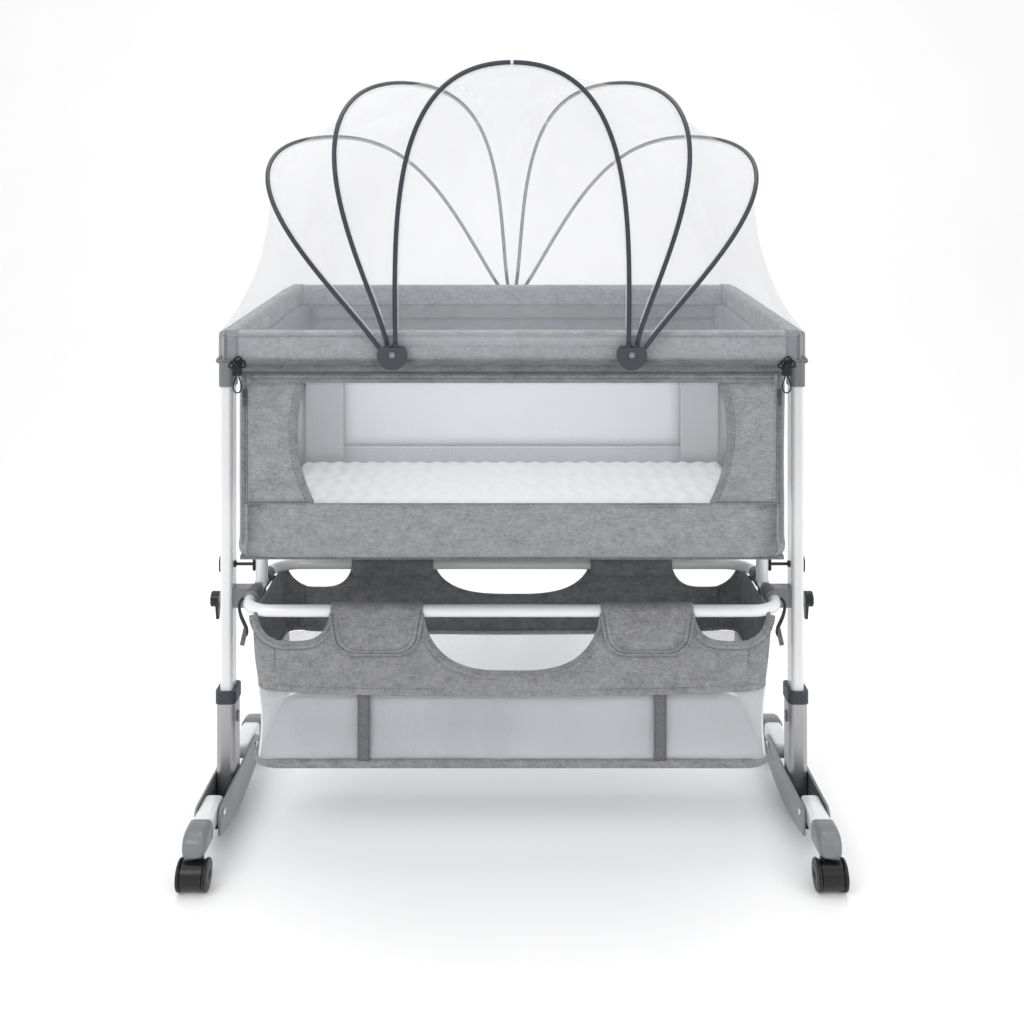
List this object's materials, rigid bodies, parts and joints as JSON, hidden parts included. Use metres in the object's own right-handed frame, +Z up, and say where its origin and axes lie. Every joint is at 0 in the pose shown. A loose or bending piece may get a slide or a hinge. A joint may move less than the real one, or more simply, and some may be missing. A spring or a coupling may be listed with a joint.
{
  "type": "bassinet on stand",
  "caption": "Bedside bassinet with a fold-down mesh front, a hooped mosquito net, a storage basket and tray, on telescopic legs with casters.",
  "frame": {"origin": "on the floor at the centre of the footprint", "axes": "+Z up, +X from the left leg to the right leg seen from the front, -Y towards the front with the fold-down panel"},
  "size_m": [1.0832, 0.7115, 1.3292],
  "materials": {
    "rail_fabric": "melange weave, padded",
    "body_fabric": "melange weave",
    "basket_fabric": "melange weave with bound edges",
    "mesh": "knitted mesh",
    "net_fabric": "sheer mosquito net",
    "tray_fabric": "knitted mesh over board",
    "strap": "webbing",
    "mattress_cover": "quilted",
    "board": "plain board",
    "white_tube": "white gloss paint",
    "inner_tube": "mill finish",
    "sleeve_metal": "silver-grey satin anodised",
    "bright_steel": "bright",
    "grey_plastic": "satin grey",
    "dark_plastic": "dark slate",
    "black_plastic": "black",
    "bracket_metal": "grey satin paint",
    "elastic": "black elastic"
  },
  "bodies": {
    "crib": {"rail_tubes": "inner_tube", "corner_joints": "dark_plastic", "rail_cover_front": "rail_fabric", "rail_cover_rear": "rail_fabric", "rail_cover_ends": "rail_fabric", "front_band": "body_fabric", "rear_wall": "body_fabric", "rear_window": "mesh", "end_walls": "body_fabric", "base_board": "board", "mattress": "mattress_cover", "leg_joints": "grey_plastic", "leg_tubes": "white_tube", "leg_plugs": "dark_plastic", "stay_tubes": "white_tube", "stay_bolts": "black_plastic", "basket_clamps": "grey_plastic", "basket_frame": "white_tube", "basket_front": "basket_fabric", "basket_rear": "basket_fabric", "basket_ends": "basket_fabric", "tray_mesh": "mesh", "tray_floor": "tray_fabric", "tray_rim": "basket_fabric", "tray_straps": "strap", "net_hubs": "dark_plastic", "hub_rivets": "bright_steel", "mosquito_net": "net_fabric", "cord_locks": "black_plastic", "cord_left": "elastic", "cord_right": "elastic"},
    "panel": {"front_panel": "body_fabric", "front_window": "mesh"},
    "zip_left": {"zip_slider_left": "dark_plastic"},
    "knob_left": {"knob_left": "black_plastic"},
    "zip_right": {"zip_slider_right": "dark_plastic"},
    "knob_right": {"knob_right": "black_plastic"},
    "hoop_arch": {"hoop_arch": "dark_plastic"},
    "hoop_mid_left": {"hoop_mid_left": "dark_plastic"},
    "hoop_outer_left": {"hoop_outer_left": "dark_plastic"},
    "base_left": {"sleeve_left": "sleeve_metal", "collar_left": "dark_plastic", "foot_left": "bracket_metal", "foot_caps_left": "grey_plastic"},
    "button_left": {"button_left": "grey_plastic"},
    "caster_front_left": {"caster_front_left": "black_plastic"},
    "wheels_front_left": {"wheels_front_left": "black_plastic"},
    "caster_rear_left": {"caster_rear_left": "black_plastic"},
    "wheels_rear_left": {"wheels_rear_left": "black_plastic"},
    "hoop_mid_right": {"hoop_mid_right": "dark_plastic"},
    "hoop_outer_right": {"hoop_outer_right": "dark_plastic"},
    "base_right": {"sleeve_right": "sleeve_metal", "collar_right": "dark_plastic", "foot_right": "bracket_metal", "foot_caps_right": "grey_plastic"},
    "button_right": {"button_right": "grey_plastic"},
    "caster_front_right": {"caster_front_right": "black_plastic"},
    "wheels_front_right": {"wheels_front_right": "black_plastic"},
    "caster_rear_right": {"caster_rear_right": "black_plastic"},
    "wheels_rear_right": {"wheels_rear_right": "black_plastic"}
  },
  "joints": [
    {"name": "panel_fold", "type": "hinge", "parent": "crib", "child": "panel", "pos_m": [0, -0.262, 0.633], "axis": [1, 0, 0], "range_deg": [0, 160]},
    {"name": "zip_left_slide", "type": "slide", "parent": "crib", "child": "zip_left", "axis": [0, 0, -1], "range_m": [0, 0.15]},
    {"name": "knob_left_turn", "type": "hinge", "parent": "crib", "child": "knob_left", "pos_m": [-0.512, 0, 0.392], "axis": [1, 0, 0], "continuous": true},
    {"name": "zip_right_slide", "type": "slide", "parent": "crib", "child": "zip_right", "axis": [0, 0, -1], "range_m": [0, 0.15]},
    {"name": "knob_right_turn", "type": "hinge", "parent": "crib", "child": "knob_right", "pos_m": [0.512, 0, 0.392], "axis": [1, 0, 0], "continuous": true},
    {"name": "arch_tilt", "type": "hinge", "parent": "crib", "child": "hoop_arch", "pos_m": [0, -0.2934, 0.884], "axis": [1, 0, 0], "range_deg": [0, 50], "deforming": ["mosquito_net"]},
    {"name": "hoops_left_fold", "type": "hinge", "parent": "crib", "child": "hoop_mid_left", "pos_m": [-0.192, -0.2934, 0.883], "axis": [-0.2998, -0.9511, -0.0746], "range_deg": [0, 32], "deforming": ["mosquito_net"]},
    {"name": "outer_left_fold", "type": "hinge", "parent": "crib", "child": "hoop_outer_left", "pos_m": [-0.1985, -0.2934, 0.872], "axis": [-0.293, -0.9526, -0.0812], "range_deg": [0, 32], "deforming": ["mosquito_net"]},
    {"name": "hoops_right_fold", "type": "hinge", "parent": "crib", "child": "hoop_mid_right", "pos_m": [0.192, -0.2934, 0.883], "axis": [-0.2998, 0.9511, 0.0746], "range_deg": [0, 32], "deforming": ["mosquito_net"]},
    {"name": "outer_right_fold", "type": "hinge", "parent": "crib", "child": "hoop_outer_right", "pos_m": [0.1985, -0.2934, 0.872], "axis": [-0.293, 0.9526, 0.0812], "range_deg": [0, 32], "deforming": ["mosquito_net"]},
    {"name": "height_left", "type": "slide", "parent": "crib", "child": "base_left", "axis": [0, 0, -1], "range_m": [-0.04, 0.07]},
    {"name": "button_left_press", "type": "slide", "parent": "base_left", "child": "button_left", "axis": [-1, 0, 0], "range_m": [0, 0.002], "stiffness_N_per_m": 400},
    {"name": "caster_front_left_swivel", "type": "hinge", "parent": "base_left", "child": "caster_front_left", "pos_m": [-0.512, -0.205, 0.06], "axis": [0, 0, 1], "continuous": true},
    {"name": "wheels_front_left_roll", "type": "hinge", "parent": "caster_front_left", "child": "wheels_front_left", "pos_m": [-0.512, -0.22, 0.025], "axis": [1, 0, 0], "continuous": true},
    {"name": "caster_rear_left_swivel", "type": "hinge", "parent": "base_left", "child": "caster_rear_left", "pos_m": [-0.512, 0.205, 0.06], "axis": [0, 0, 1], "continuous": true},
    {"name": "wheels_rear_left_roll", "type": "hinge", "parent": "caster_rear_left", "child": "wheels_rear_left", "pos_m": [-0.512, 0.22, 0.025], "axis": [1, 0, 0], "continuous": true},
    {"name": "height_right", "type": "slide", "parent": "crib", "child": "base_right", "axis": [0, 0, -1], "range_m": [-0.04, 0.07]},
    {"name": "button_right_press", "type": "slide", "parent": "base_right", "child": "button_right", "axis": [1, 0, 0], "range_m": [0, 0.002], "stiffness_N_per_m": 400},
    {"name": "caster_front_right_swivel", "type": "hinge", "parent": "base_right", "child": "caster_front_right", "pos_m": [0.512, -0.205, 0.06], "axis": [0, 0, 1], "continuous": true},
    {"name": "wheels_front_right_roll", "type": "hinge", "parent": "caster_front_right", "child": "wheels_front_right", "pos_m": [0.512, -0.22, 0.025], "axis": [1, 0, 0], "continuous": true},
    {"name": "caster_rear_right_swivel", "type": "hinge", "parent": "base_right", "child": "caster_rear_right", "pos_m": [0.512, 0.205, 0.06], "axis": [0, 0, 1], "continuous": true},
    {"name": "wheels_rear_right_roll", "type": "hinge", "parent": "caster_rear_right", "child": "wheels_rear_right", "pos_m": [0.512, 0.22, 0.025], "axis": [1, 0, 0], "continuous": true}
  ],
  "couplings": [
    {"joint": "outer_left_fold", "follows": "hoops_left_fold", "ratio": 1},
    {"joint": "outer_right_fold", "follows": "hoops_right_fold", "ratio": 1}
  ]
}
